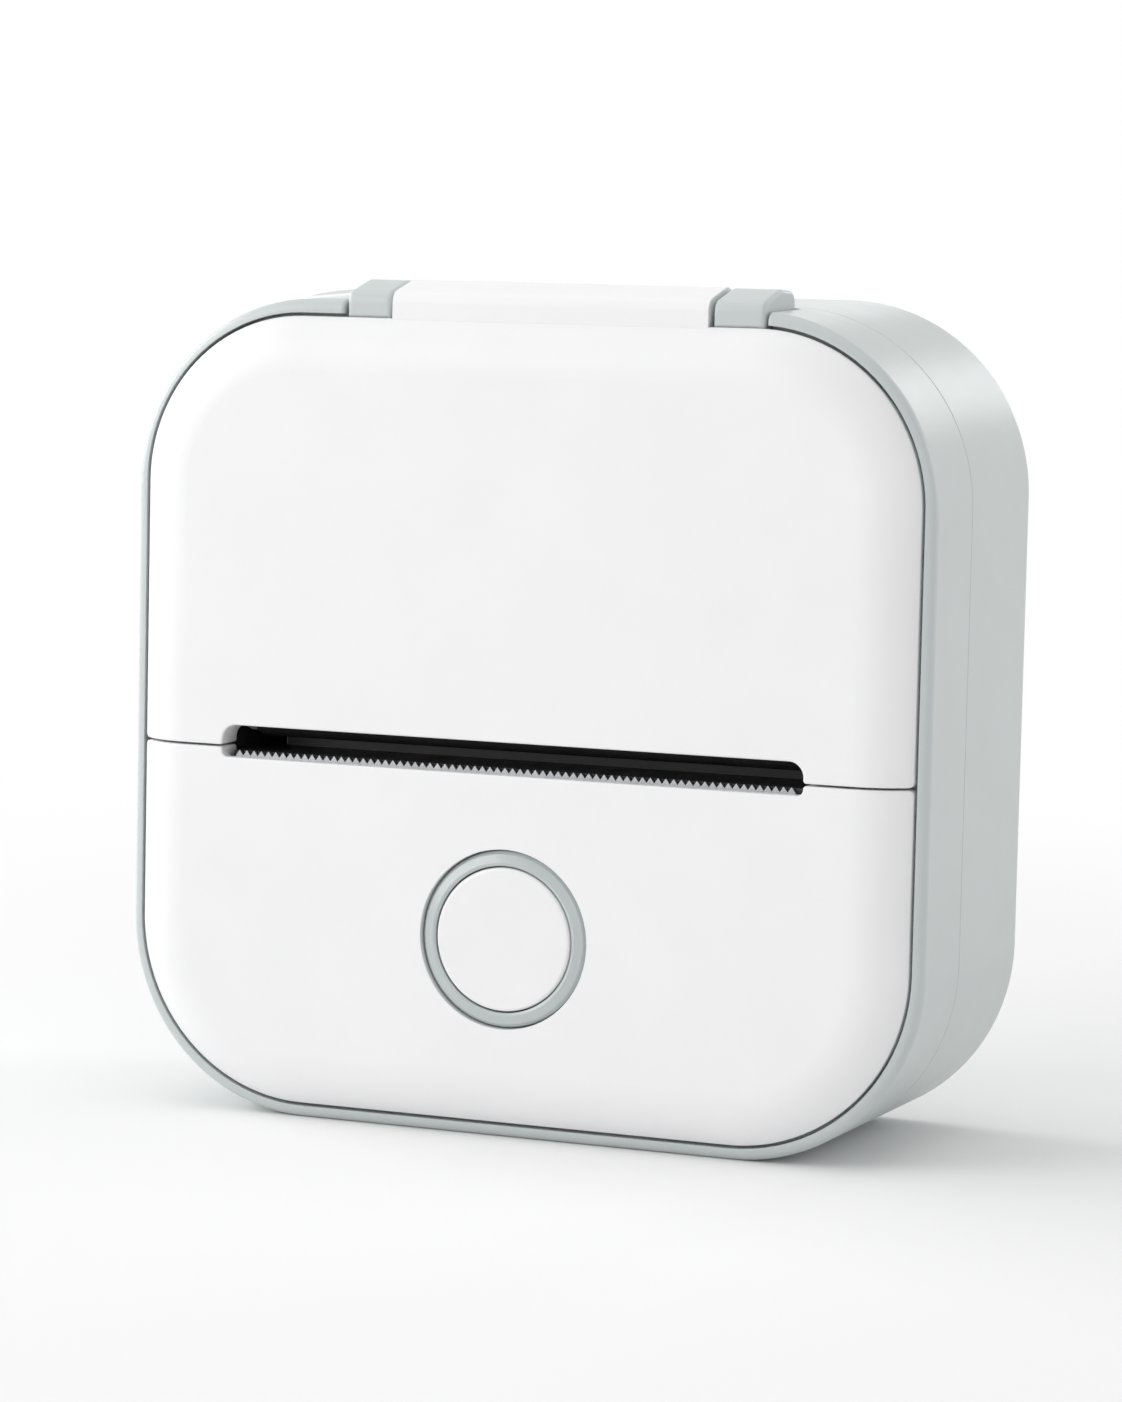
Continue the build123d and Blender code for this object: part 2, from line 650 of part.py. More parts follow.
def make_motor_stator():
    span = (motor_flange_x[1] + 0.1, motor_end_x - 0.7)
    return rod_x(span, motor, motor_radius - 0.65) - rod_x((-40, -20), motor, 3.6)


def make_motor_rotor():
    rotor = rod_x((outer_gears[0] - 0.3, motor_end_x - 0.35), motor, motor_shaft_radius)
    return rotor + rod_x((motor_flange_x[1] + 0.5, motor_end_x - 1.1), motor, 3.3)


# Chassis: two side plates joined by a beam, with hooks that open to the front for the platen
pivot = (-3.4, 34.2)
pivot_radius = 0.8
head_spring_x = (-15.0, 15.0)
bin_screw_places = [(0.0, 50.0), (6.0, 50.0)]
motor_pilot = 0.8


def make_mechanism_chassis():
    right = [(-12.4, 31.5), (2.2, 31.5), (2.2, 44.0), (8.0, 46.0), (8.0, 52.5), (-2.0, 52.5),
             (-2.0, 46.5), (-12.4, 45.0)]
    left = [(-12.4, 31.5), (-7.0, 27.0), (-7.0, 14.0), (-4.0, 11.0), (12.0, 11.0), (14.2, 14.0),
            (14.2, 30.0), (8.0, 36.0), (8.0, 52.5), (-2.0, 52.5), (-2.0, 46.5), (-12.4, 45.0)]
    chassis = along_x(polygon(right), (chassis_half, plate_outer))
    chassis += along_x(polygon(left), (-plate_outer, -chassis_half))
    chassis += block((-chassis_half - 0.2, chassis_half + 0.2), beam_y, (33.0, 44.5))
    for x in head_spring_x:
        chassis += rod_y((x, platen_height), (beam_y[0] - 1.2, beam_y[0] + 0.2), 0.85)
    seat = bushing_radius + running_gap
    throat = [(platen[0], platen[1] - seat), (-13.0, platen[1] - seat - 0.1), (-13.0, platen[1] + seat + 0.7),
              (platen[0], platen[1] + seat)]
    hook = Pos(platen[0], platen[1]) * Circle(seat) + polygon(throat)
    chassis -= along_x(hook, (-40, 40))
    chassis -= rod_x((-40, 40), pivot, pivot_radius + fit_gap)
    for centre in (idler, compound):
        chassis -= rod_x((-40, -20), centre, post_radius + fit_gap)
    chassis -= rod_x((-40, -20), motor, 1.6)
    for ear in motor_ears:
        chassis -= rod_x((-40, -20), ear, motor_pilot + fit_gap)
    for place in chassis_bosses:
        chassis -= rod_y(place, (0, 2), 1.1)
    for place in bin_screw_places:
        chassis -= rod_x((-40, 40), place, 0.9)
    return chassis


# Thermal head: a ceramic plate on an aluminium one that pivots on a pin and is sprung forwards
heatsink_y = (-4.75, -3.25)
substrate_y = (-5.5, -4.77)


def make_head_heatsink():
    plate = block((-29.4, 29.4), heatsink_y, (35.3, 44.8))
    lug = rod_x((20.0, 29.4), pivot, 1.5) + block((20.0, 29.4), heatsink_y, (pivot[1], 36.0))
    plate += both_sides(lug)
    return plate - rod_x((-40, 40), pivot, pivot_radius + running_gap)


def make_head_substrate():
    return block((-28.8, 28.8), substrate_y, (36.2, 44.5))


def make_head_pivot_pin():
    return rod_x((-plate_outer, plate_outer), pivot, pivot_radius)


def make_head_springs():
    springs = None
    wire = 0.2
    for x in head_spring_x:
        coil = Helix(pitch=0.85, height=beam_y[0] - heatsink_y[1] - 2 * wire - 0.2, radius=1.3,
                     center=(x, heatsink_y[1] + wire + 0.1, platen_height), direction=(0, 1, 0))
        section = Plane(origin=coil @ 0, z_dir=coil % 0) * Circle(wire)
        spring = sweep(section, path=coil, is_frenet=True)
        springs = spring if springs is None else springs + spring
    return springs


def make_head_flex():
    route = [(-5.2, 36.0), (-5.2, 33.4), (-6.9, 32.0), (-6.9, 30.7)]
    back = [(y + 0.2, z) for y, z in reversed(route)]
    return along_x(polygon(route + back), (-8.0, 8.0))


# Platen roller and the bushings that carry it
ear_x = (29.5, 30.7)
bushing_x = (29.5, plate_outer + 0.1)


def make_platen_rubber():
    sleeve = rod_x((-platen_half, platen_half), platen, platen_radius)
    return sleeve - rod_x((-40, 40), platen, platen_shaft_radius + 0.8 + fit_gap)


def make_platen_shaft():
    shaft = rod_x((inner_gears[0] - 0.5, plate_outer + 0.9), platen, platen_shaft_radius)
    return shaft + rod_x((-platen_half, platen_half), platen, platen_shaft_radius + 0.8)


def make_platen_clip():
    return make_clip(plate_outer + 0.4, platen, platen_shaft_radius)


def make_platen_bushings():
    bushing = rod_x(bushing_x, platen, bushing_radius)
    bushing -= rod_x((20, 40), platen, platen_shaft_radius + running_gap)
    return both_sides(bushing)


# Inner plate of the cover, with two ears that hold the platen's bushings
liner_y = (-13.6, -12.6)
cover_bosses = [(24.0, 49.0), (-24.0, 49.0), (24.0, 69.0), (-24.0, 69.0)]


def make_cover_liner():
    liner = block((-ear_x[1], ear_x[1]), liner_y, (44.4, 73.4))
    ear = polygon([(liner_y[0], 39.2), (platen[0], platen[1] - 3.1), (platen[0], 44.2), (liner_y[1], 45.0),
                   (liner_y[0], 45.0)]) + Pos(platen[0], platen[1]) * Circle(3.1)
    liner += both_sides(along_x(ear, ear_x))
    liner -= rod_x((-40, 40), platen, bushing_radius + fit_gap)
    for x in (-18.0, -6.0, 6.0, 18.0):
        liner += block((x - 0.5, x + 0.5), (inside_front_y + 0.1, liner_y[0] + 0.1), (46.0, 72.0))
    for place in cover_bosses:
        liner -= rod_y(place, (-20, 0), 0.9)
    return liner


def make_screw_y(place, seat, length, radius, head_radius, head_height, forwards=True):
    """Pan-head screw along Y, head to the rear when it drives forwards."""
    sign = -1 if forwards else 1
    shank = rod_y(place, sorted((seat, seat + sign * length)), radius)
    head = rod_y(place, sorted((seat, seat - sign * head_height)), head_radius)
    top = seat - sign * head_height
    recess = rod_y(place, sorted((top, top + sign * head_height * 0.5)), head_radius * 0.45)
    return shank + head - recess


def screws_y(places, seat, length, radius, head_radius, head_height, forwards=True):
    group = None
    for place in places:
        screw = make_screw_y(place, seat, length, radius, head_radius, head_height, forwards)
        group = screw if group is None else group + screw
    return group


def screws_x(places, seat, length, radius, head_radius, head_height):
    """Screws along X; the head is at seat and the shank goes towards +X for a positive length."""
    group = None
    sign = 1 if length > 0 else -1
    for place in places:
        screw = rod_x(sorted((seat, seat + length)), place, radius)
        screw += rod_x(sorted((seat, seat - sign * head_height)), place, head_radius)
        group = screw if group is None else group + screw
    return group


# Paper bin: a trough that opens to the cover, with a gap at its floor's front for the paper
def make_paper_bin():
    skin = 1.2
    outer = Pos((ledge_y + bin_back_y) / 2, (bin_floor + bin_roof) / 2) * RectangleRounded(
        bin_back_y - ledge_y, bin_roof - bin_floor + 2 * skin, 6.0 + skin)
    outer += Pos((ledge_y - 4) / 2, (bin_floor + bin_roof) / 2) * Rectangle(
        -ledge_y - 4, bin_roof - bin_floor + 2 * skin)
    inner = Pos((ledge_y - 9 + bin_back_y - skin) / 2, (bin_floor + bin_roof) / 2) * RectangleRounded(
        bin_back_y - skin - ledge_y + 9, bin_roof - bin_floor, 6.0)
    tub = along_x(outer, (-bin_half, bin_half)) - along_x(inner, (-bin_half + skin, bin_half - skin))
    tub -= block((-50, 50), (-30, ledge_y), (0, 100))
    tub -= block((-bin_half + skin, bin_half - skin), (-30, -3.2), (bin_floor - 3, bin_floor + 1))
    for place in bin_screw_places:
        tub -= rod_x((-40, 40), place, 0.75)
    return tub


def make_paper_sensor():
    return block((10.0, 13.2), (-4.5, -3.25), (45.9, 48.2))


# Electronics and battery
battery_x = (-18.0, 22.0)
battery_y = (-5.2, 4.8)
battery_z = (4.0, 32.0)
board_x = (-18.0, 23.5)
board_z = (3.4, 31.5)
socket_size = (8.9, 3.2)
socket_place = (8.0, 9.0)
charge_board_z = (6.3, 7.3)
battery_lead_heights = (18.6, 20.4)
motor_lead_heights = (15.6, 16.6, 17.6, 18.6)
lead_y = -6.5


def make_main_board():
    board = block(board_x, board_y, board_z)
    for place in board_bosses:
        board -= rod_y(place, (-20, 0), 1.1)
    return board


def make_board_chips():
    back = board_y[1]
    chips = block((-6.0, 1.0), (back, back + 1.0), (9.0, 16.0))
    chips += block((-12.0, -8.5), (back, back + 0.9), (8.0, 13.0))
    chips += block((4.5, 7.5), (back, back + 0.9), (20.0, 23.0))
    return chips


def make_radio_shield():
    return block((5.5, 15.5), (board_y[1], board_y[1] + 1.6), (6.0, 16.0))


def make_head_connector():
    housing = block((-9.5, 9.5), (board_y[1], board_y[1] + 1.5), (27.4, 31.0))
    return housing - block((-8.05, 8.05), (-6.95, -6.65), (30.6, 32.0))


def make_battery_connector():
    return block((17.5, 22.0), (board_y[1], board_y[1] + 2.2), (battery_lead_heights[0] - 1.5,
                                                              battery_lead_heights[1] + 1.5))


def make_motor_connector():
    return block((-17.3, -13.0), (board_y[1], board_y[1] + 2.2), (motor_lead_heights[0] - 1.2,
                                                                 motor_lead_heights[-1] + 1.2))


def lead(points, radius):
    """Round wire whose corners are arcs as large as the shorter run beside each one allows."""
    runs = [(Vector(b) - Vector(a)).length for a, b in zip(points, points[1:])]
    bend = 0.45 * min(runs)
    path = FilletPolyline(*points, radius=bend)
    print("lead bend radius", round(bend, 2), "length", round(path.length, 1))
    return sweep(Plane(origin=path @ 0, z_dir=path % 0) * Circle(radius), path=path)


def make_battery_lead(height):
    out = battery_x[1] + 3.6
    points = [(battery_x[1], -0.4, height), (out, -0.4, height), (out, lead_y, height), (22.0, lead_y, height)]
    return lead(points, 0.6)


def make_motor_leads():
    group = None
    for height in motor_lead_heights:
        points = [(motor_end_x, 0.6, height), (motor_end_x + 2.2, 0.6, height),
                  (motor_end_x + 2.2, lead_y, height), (-17.3, lead_y, height)]
        wire = lead(points, 0.35)
        group = wire if group is None else group + wire
    return group


def make_status_light():
    return block((-0.8, 0.8), (board_y[0] - 0.8, board_y[0]), (29.6, 30.6))


def make_charging_board():
    return block((0.0, 16.0), (5.6, inside_back_y - 0.1), charge_board_z)


def make_charging_socket():
    outer = RectangleRounded(socket_size[0], socket_size[1], socket_size[1] / 2 - 0.05)
    inner = RectangleRounded(socket_size[0] - 0.7, socket_size[1] - 0.7, socket_size[1] / 2 - 0.4)
    place = Pos(socket_place[0], socket_place[1])
    shell = along_y(place * outer, (inside_back_y - 6.5, back_y - 0.4))
    shell -= along_y(place * inner, (inside_back_y - 5.5, back_y))
    tongue = block((socket_place[0] - 3.3, socket_place[0] + 3.3), (inside_back_y - 6.0, back_y - 1.2),
                   (socket_place[1] - 0.35, socket_place[1] + 0.35))
    feet = block((socket_place[0] - 3.5, socket_place[0] + 3.5), (inside_back_y - 6.5, inside_back_y - 0.5),
                 (charge_board_z[1], socket_place[1] - socket_size[1] / 2 + 0.1))
    return shell + tongue + feet


def make_battery_cell():
    cell = block(battery_x, battery_y, battery_z)
    return fillet(cell.edges().filter_by(Axis.X), 2.0)


def make_pieces():
    return {
        "rear_shell": make_rear_shell(),
        "front_frame": make_front_frame(),
        "lower_front_shell": make_lower_front_shell(),
        "upper_cover": make_upper_cover(),
        "hinge_block_left": make_hinge_block(left_block_x),
        "hinge_block_right": make_hinge_block(right_block_x),
        "hinge_pin": make_hinge_pin(),
        "strap_eyelet": make_strap_eyelet(),
        "button_ring": make_button_ring(),
        "button_cap": make_button_cap(),
        "switch_body": make_switch_body(),
        "switch_plunger": make_switch_plunger(),
        "tear_blade": make_tear_blade(),
        "paper_guide": make_paper_guide(),
        "mechanism_chassis": make_mechanism_chassis(),
        "paper_bin": make_paper_bin(),
        "paper_sensor": make_paper_sensor(),
        "cover_liner": make_cover_liner(),
        "platen_rubber": make_platen_rubber(),
        "platen_shaft": make_platen_shaft(),
        "platen_clip": make_platen_clip(),
        "platen_bushings": make_platen_bushings(),
        "platen_gear": make_platen_gear(),
        "idler_gear": make_idler_gear(),
        "compound_gear": make_compound_gear(),
        "motor_pinion": make_motor_pinion(),
        "motor_rotor": make_motor_rotor(),
        "motor_stator": make_motor_stator(),
        "motor_can": make_motor_can(),
        "gear_posts": make_gear_posts(),
        "gear_clips": make_gear_clips(),
        "head_heatsink": make_head_heatsink(),
        "head_substrate": make_head_substrate(),
        "head_pivot_pin": make_head_pivot_pin(),
        "head_springs": make_head_springs(),
        "head_flex": make_head_flex(),
        "head_connector": make_head_connector(),
        "main_board": make_main_board(),
        "board_chips": make_board_chips(),
        "radio_shield": make_radio_shield(),
        "status_light": make_status_light(),
        "battery_cell": make_battery_cell(),
        "battery_connector": make_battery_connector(),
        "battery_lead_red": make_battery_lead(battery_lead_heights[1]),
        "battery_lead_black": make_battery_lead(battery_lead_heights[0]),
        "motor_connector": make_motor_connector(),
        "motor_leads": make_motor_leads(),
        "charging_board": make_charging_board(),
        "charging_socket": make_charging_socket(),
        "shell_screws": screws_y(shell_bosses, shell_screw_seat, shell_screw_length, shell_screw_radius,
                                 shell_screw_head, 1.3),
        "chassis_screws": screws_y(chassis_bosses, beam_y[0], chassis_screw_length, chassis_screw_radius, 1.9, 1.0,
                                   forwards=False),
        "board_screws": screws_y(board_bosses, board_y[1], 4.0, 0.8, 1.6, 0.8),
        "cover_screws": screws_y(cover_bosses, liner_y[1], 2.5, 0.75, 1.5, 0.6),
        "bin_screws": screws_x(bin_screw_places, -plate_outer, 2.5, 0.75, 1.5, 0.6)
        + screws_x(bin_screw_places, plate_outer, -2.5, 0.75, 1.5, 0.6),
        "motor_screws": screws_x(motor_ears, motor_flange_x[1], -2.4, motor_pilot, 1.5, 0.7),
    }


os.makedirs("parts", exist_ok=True)
for name, piece in make_pieces().items():
    export_step(piece, f"parts/{name}.step")
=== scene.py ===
import json
import math

import bpy
from mathutils import Matrix, Vector

# Looks of a pocket label printer: satin white front, greenish grey case, black paper slot with a
# saw-edged steel blade, and a polished ring round its button. Metres, in the frame of the model.

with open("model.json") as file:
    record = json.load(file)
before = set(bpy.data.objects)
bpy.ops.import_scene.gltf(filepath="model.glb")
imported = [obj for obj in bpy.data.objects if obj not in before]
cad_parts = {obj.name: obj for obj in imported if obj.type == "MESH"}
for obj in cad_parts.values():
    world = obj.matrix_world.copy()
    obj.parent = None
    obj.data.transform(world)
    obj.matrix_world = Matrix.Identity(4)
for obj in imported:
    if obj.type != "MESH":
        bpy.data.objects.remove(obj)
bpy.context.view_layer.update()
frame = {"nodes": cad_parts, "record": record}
NODES = frame["nodes"]
MM = 0.001


def linear(hex_colour):
    """An sRGB hex colour as linear red, green, blue and alpha."""
    channels = []
    for start in (0, 2, 4):
        value = int(hex_colour[start:start + 2], 16) / 255
        channels.append(value / 12.92 if value <= 0.04045 else ((value + 0.055) / 1.055) ** 2.4)
    return (*channels, 1.0)


def add(tree, kind, inputs=None, **settings):
    """Add a node with its settings; inputs gives each socket a value or another node's output."""
    node = tree.nodes.new(kind)
    for name, value in settings.items():
        setattr(node, name, value)
    for socket, value in (inputs or {}).items():
        if isinstance(value, bpy.types.NodeSocket):
            tree.links.new(value, node.inputs[socket])
        else:
            node.inputs[socket].default_value = value
    return node


def per_metre(size_mm):
    """Noise scale whose features are about size_mm across."""
    return 1 / (size_mm * MM)


def start_material(name):
    material = bpy.data.materials.new(name)
    material.use_nodes = True
    tree = material.node_tree
    tree.nodes.clear()
    place = add(tree, "ShaderNodeTexCoord").outputs["Object"]
    return material, tree, place


def close_material(tree, shader):
    add(tree, "ShaderNodeOutputMaterial", {"Surface": shader.outputs[0]})


def noise(tree, place, size_mm, detail=2.0, rough=0.5, stretch=(1, 1, 1)):
    """Soft random pattern of one feature size, drawn out along an axis where stretch is under 1."""
    scaled = add(tree, "ShaderNodeMapping", {"Vector": place, "Scale": stretch})
    pattern = add(tree, "ShaderNodeTexNoise", {"Vector": scaled.outputs[0], "Scale": per_metre(size_mm),
                                              "Detail": detail, "Roughness": rough})
    return pattern.outputs["Fac"]


def spread(tree, value, low, high):
    """Bring the middle of a noise, 0.3 to 0.7, to the range low to high."""
    ranged = add(tree, "ShaderNodeMapRange", {"Value": value, "From Min": 0.3, "From Max": 0.7,
                                              "To Min": low, "To Max": high})
    return ranged.outputs["Result"]


def two_tone(tree, value, dark, light):
    """Run from one colour to the other as a noise goes from 0.3 to 0.7."""
    ramp = add(tree, "ShaderNodeValToRGB", {"Fac": value})
    for element, position, colour in zip(ramp.color_ramp.elements, (0.3, 0.7), (dark, light)):
        element.position = position
        element.color = linear(colour)
    return ramp.outputs["Color"]


def softened_edges(tree, radius_mm):
    """Normal that turns round each edge as a small radius left by the mould does."""
    return add(tree, "ShaderNodeBevel", {"Radius": radius_mm * MM}, samples=4).outputs["Normal"]


def bumped(tree, height, depth_mm, normal):
    return add(tree, "ShaderNodeBump", {"Height": height, "Distance": depth_mm * MM, "Strength": 1.0,
                                        "Normal": normal}).outputs["Normal"]


def moulded_plastic(name, dark, light, rough, grain_depth_mm, ior=1.53, coat=0.0, edge_mm=0.1):
    """Injection-moulded plastic: a faintly cloudy tone, uneven gloss where the melt cooled and a
    fine grain, 0.35 mm across, from the tool."""
    material, tree, place = start_material(name)
    cloud = noise(tree, place, 9.0)
    gloss = noise(tree, place, 3.0, detail=3.0)
    grain = noise(tree, place, 0.35, detail=1.0)
    shader = add(tree, "ShaderNodeBsdfPrincipled", {
        "Base Color": two_tone(tree, cloud, dark, light),
        "Roughness": spread(tree, gloss, rough[0], rough[1]),
        "IOR": ior,
        "Coat Weight": coat,
        "Normal": bumped(tree, grain, grain_depth_mm, softened_edges(tree, edge_mm)),
    })
    close_material(tree, shader)
    return material


def worked_metal(name, dark, light, rough, mark_mm, mark_depth_mm, stretch):
    """Metal with the marks of its working drawn out along the axes where stretch is small."""
    material, tree, place = start_material(name)
    cloud = noise(tree, place, 3.0, detail=3.0)
    marks = noise(tree, place, mark_mm, detail=3.0, stretch=stretch)
    shader = add(tree, "ShaderNodeBsdfPrincipled", {
        "Base Color": two_tone(tree, cloud, dark, light),
        "Metallic": 1.0,
        "Roughness": spread(tree, marks, rough[0], rough[1]),
        "Normal": bumped(tree, marks, mark_depth_mm, softened_edges(tree, 0.05)),
    })
    close_material(tree, shader)
    return material


def ground_rubber(name):
    """Silicone rubber ground between centres: fine rings that dull it, and a faint bloom."""
    material, tree, place = start_material(name)
    rings = noise(tree, place, 0.5, detail=2.0, stretch=(1, 0.05, 0.05))
    bloom = noise(tree, place, 4.0)
    shader = add(tree, "ShaderNodeBsdfPrincipled", {
        "Base Color": two_tone(tree, bloom, "29292A", "333334"),
        "Roughness": spread(tree, rings, 0.5, 0.62),
        "IOR": 1.42,
        "Normal": bumped(tree, rings, 0.006, softened_edges(tree, 0.1)),
    })
    close_material(tree, shader)
    return material


def wound_wire(name):
    """Enamelled copper wire wound on the motor's poles: turns 0.25 mm apart under clear varnish."""
    material, tree, place = start_material(name)
    turns = add(tree, "ShaderNodeTexWave", {"Vector": place, "Scale": per_metre(0.25 * 2 * math.pi),
                                            "Distortion": 0.6}, bands_direction="X").outputs["Fac"]
    stain = noise(tree, place, 2.0, detail=3.0)
    shader = add(tree, "ShaderNodeBsdfPrincipled", {
        "Base Color": two_tone(tree, stain, "7A3A1C", "9A5428"),
        "Roughness": spread(tree, stain, 0.25, 0.38),
        "IOR": 1.55,
        "Coat Weight": 0.4,
        "Normal": bumped(tree, turns, 0.06, softened_edges(tree, 0.05)),
    })
    close_material(tree, shader)
    return material


def printed_board(name):
    """Glass laminate under green solder mask; copper tracks 0.8 mm apart show as paler bands that
    stand a little proud."""
    material, tree, place = start_material(name)
    tracks = add(tree, "ShaderNodeTexBrick", {"Vector": place, "Scale": per_metre(1.6), "Mortar Size": 0.16,
                                              "Mortar Smooth": 0.4, "Brick Width": 3.0, "Row Height": 0.5,
                                              "Color1": linear("0D4A2A"), "Color2": linear("0F4F2E"),
                                              "Mortar": linear("1E6B3C")})
    sheen = noise(tree, place, 5.0)
    shader = add(tree, "ShaderNodeBsdfPrincipled", {
        "Base Color": tracks.outputs["Color"],
        "Roughness": spread(tree, sheen, 0.25, 0.36),
        "IOR": 1.5,
        "Normal": bumped(tree, tracks.outputs["Fac"], 0.03, softened_edges(tree, 0.05)),
    })
    close_material(tree, shader)
    return material


def foil_pouch(name):
    """Laminated foil round the battery: a dull silver film with long soft creases."""
    material, tree, place = start_material(name)
    creases = noise(tree, place, 5.0, detail=4.0, stretch=(0.5, 1, 1))
    wear = noise(tree, place, 1.2, detail=3.0)
    shader = add(tree, "ShaderNodeBsdfPrincipled", {
        "Base Color": two_tone(tree, wear, "9DA1A7", "AEB2B8"),
        "Metallic": 0.5,
        "Roughness": spread(tree, creases, 0.3, 0.42),
        "Normal": bumped(tree, creases, 0.25, softened_edges(tree, 0.3)),
    })
    close_material(tree, shader)
    return material


def outer_plastics():
    return {
        # White front: clean and smooth, bright with a broad soft sheen
        "panel_plastic": moulded_plastic("satin_white_abs", "EEEEEF", "F0F0F1", (0.38, 0.42), 0.0012,
                                         edge_mm=0.12),
        # Push button: the same white, a shade glossier from fingers
        "button_plastic": moulded_plastic("handled_white_abs", "EDEDED", "EFEFF0", (0.33, 0.42), 0.001),
        # Case: cool greenish grey with a soft satin sheen that shows its rounded corners
        "case_plastic": moulded_plastic("satin_grey_abs", "C0C7C6", "C2C9C8", (0.31, 0.35), 0.0015,
                                        edge_mm=0.12),
        # Button ring: the same grey polished, so that it catches sharp highlights
        "ring_plastic": moulded_plastic("polished_grey_abs", "B8C0BF", "BBC3C2", (0.18, 0.24), 0.0006,
                                        coat=0.2),
        # Strap loop: plain bright white against the grey top
        "eyelet_plastic": moulded_plastic("smooth_white_nylon", "F3F3F3", "F7F7F7", (0.3, 0.38), 0.001),
    }


def inner_plastics():
    return {
        # Paper guide: black and slightly slippery looking, a dim band behind the blade
        "guide_plastic": moulded_plastic("black_acetal", "262628", "2C2C2E", (0.32, 0.42), 0.002, ior=1.48),
        # Switch and sensor: dull black
        "black_plastic": moulded_plastic("black_nylon", "121213", "18181A", (0.42, 0.52), 0.003),
        # Chassis: charcoal with the rough skin that short glass fibres leave
        "chassis_plastic": moulded_plastic("glass_filled_nylon", "19191B", "28282A", (0.45, 0.62), 0.008),
        # Paper bin: plain mid grey, dulled by paper dust
        "bin_plastic": moulded_plastic("dusty_grey_abs", "A6ACAB", "B2B8B7", (0.48, 0.62), 0.004),
        # Cover liner: off-white, duller than the outside
        "liner_plastic": moulded_plastic("dull_white_abs", "DADCDC", "E2E3E3", (0.46, 0.56), 0.004),
        # Gears and bushings: milky cream with a waxy sheen
        "gear_plastic": moulded_plastic("natural_acetal", "E5E1D5", "EDEAE0", (0.3, 0.4), 0.002, ior=1.48,
                                        coat=0.1, edge_mm=0.05),
        # Plug housings: ivory
        "connector_plastic": moulded_plastic("ivory_nylon", "DCD7C4", "E5E1D1", (0.4, 0.5), 0.003,
                                             edge_mm=0.05),
        # Chip packages: flat black, rough as sand-blasted epoxy is
        "chip_plastic": moulded_plastic("black_moulded_epoxy", "121213", "1B1B1C", (0.52, 0.64), 0.005,
                                        edge_mm=0.05),
        # Status light: warm, nearly clear and glossy
        "light_plastic": moulded_plastic("cast_clear_epoxy", "EDE8C8", "F5F0D6", (0.08, 0.15), 0.001,
                                         edge_mm=0.05),
        # Wires: plain red, black and white with an even, slightly tacky gloss
        "red_insulation": moulded_plastic("red_pvc", "A01410", "B01A14", (0.3, 0.4), 0.002, edge_mm=0.05),
        "black_insulation": moulded_plastic("black_pvc", "0C0C0C", "131313", (0.3, 0.4), 0.002,
                                            edge_mm=0.05),
        "white_insulation": moulded_plastic("white_pvc", "D8D8D6", "E0E0DE", (0.3, 0.4), 0.002,
                                            edge_mm=0.05),
        # Flex tail of the print head: see-through amber film, drawn opaque
        "flex_film": moulded_plastic("amber_polyimide_film", "B06A18", "C07A22", (0.2, 0.3), 0.002, ior=1.7,
                                     edge_mm=0.05),
        # Print head face: cream ceramic under hard glaze
        "head_ceramic": moulded_plastic("glazed_alumina", "DDD9CE", "E6E3DA", (0.12, 0.22), 0.001, ior=1.6,
                                        edge_mm=0.05),
    }


def metals():
    return {
        # Tear blade: bright grey strip with a faint grain along its length
        "blade_steel": worked_metal("etched_spring_steel", "A8AAAC", "BCBEC0", (0.3, 0.42), 0.4, 0.002,
                                    (0.08, 1, 1)),
        # Pins and shafts: bright, with rings from centreless grinding
        "pin_steel": worked_metal("ground_steel", "B0B0B2", "C2C2C4", (0.16, 0.3), 0.3, 0.001,
                                  (1, 0.1, 0.1)),
        "rotor_steel": worked_metal("turned_steel", "8E8E92", "A2A2A6", (0.25, 0.4), 0.3, 0.002,
                                    (1, 0.1, 0.1)),
        # Springs and clips: darker, drawn and tempered
        "spring_steel": worked_metal("tempered_spring_steel", "8A8C90", "A2A4A8", (0.25, 0.38), 0.3,
                                     0.001, (1, 1, 1)),
        # Screws: bluish bright zinc, cloudy where it was handled
        "screw_steel": worked_metal("zinc_plated_steel", "B0B3B9", "C6C8CC", (0.18, 0.34), 0.4, 0.001,
                                    (1, 1, 1)),
        # Charging socket: warm nickel with drawing marks along its depth
        "socket_steel": worked_metal("nickel_plated_steel", "B8B6B0", "C8C6C0", (0.2, 0.3), 0.4, 0.001,
                                     (1, 0.1, 1)),
        # Shield over the radio: dull tin
        "shield_steel": worked_metal("tinned_steel", "B4B6B8", "C4C6C8", (0.28, 0.4), 0.6, 0.002,
                                     (1, 1, 0.2)),
        # Motor can: plated, with marks along the way it was drawn
        "motor_steel": worked_metal("drawn_plated_steel", "AEB0B2", "C0C2C4", (0.25, 0.36), 0.5, 0.002,
                                    (0.1, 1, 1)),
        # Head plate: pale aluminium with extrusion lines along its length
        "heatsink_aluminium": worked_metal("extruded_aluminium", "C2C4C6", "D4D6D8", (0.3, 0.44), 0.4,
                                           0.003,
                                           (0.05, 1, 1)),
        # Motor pinion: yellow, turned
        "brass": worked_metal("turned_brass", "C8A050", "D8B468", (0.2, 0.3), 0.3, 0.001, (1, 0.1, 0.1)),
    }


def make_materials():
    """One finish for each material slot of the record."""
    finish = {**outer_plastics(), **inner_plastics(), **metals()}
    finish["platen_rubber"] = ground_rubber("ground_silicone_rubber")
    finish["coil_plastic"] = wound_wire("enamelled_copper_winding")
    finish["board_laminate"] = printed_board("green_solder_mask")
    finish["battery_wrap"] = foil_pouch("laminated_foil_pouch")
    return finish


def paint(node_name, material):
    mesh = NODES[node_name].data
    mesh.materials.clear()
    mesh.materials.append(material)


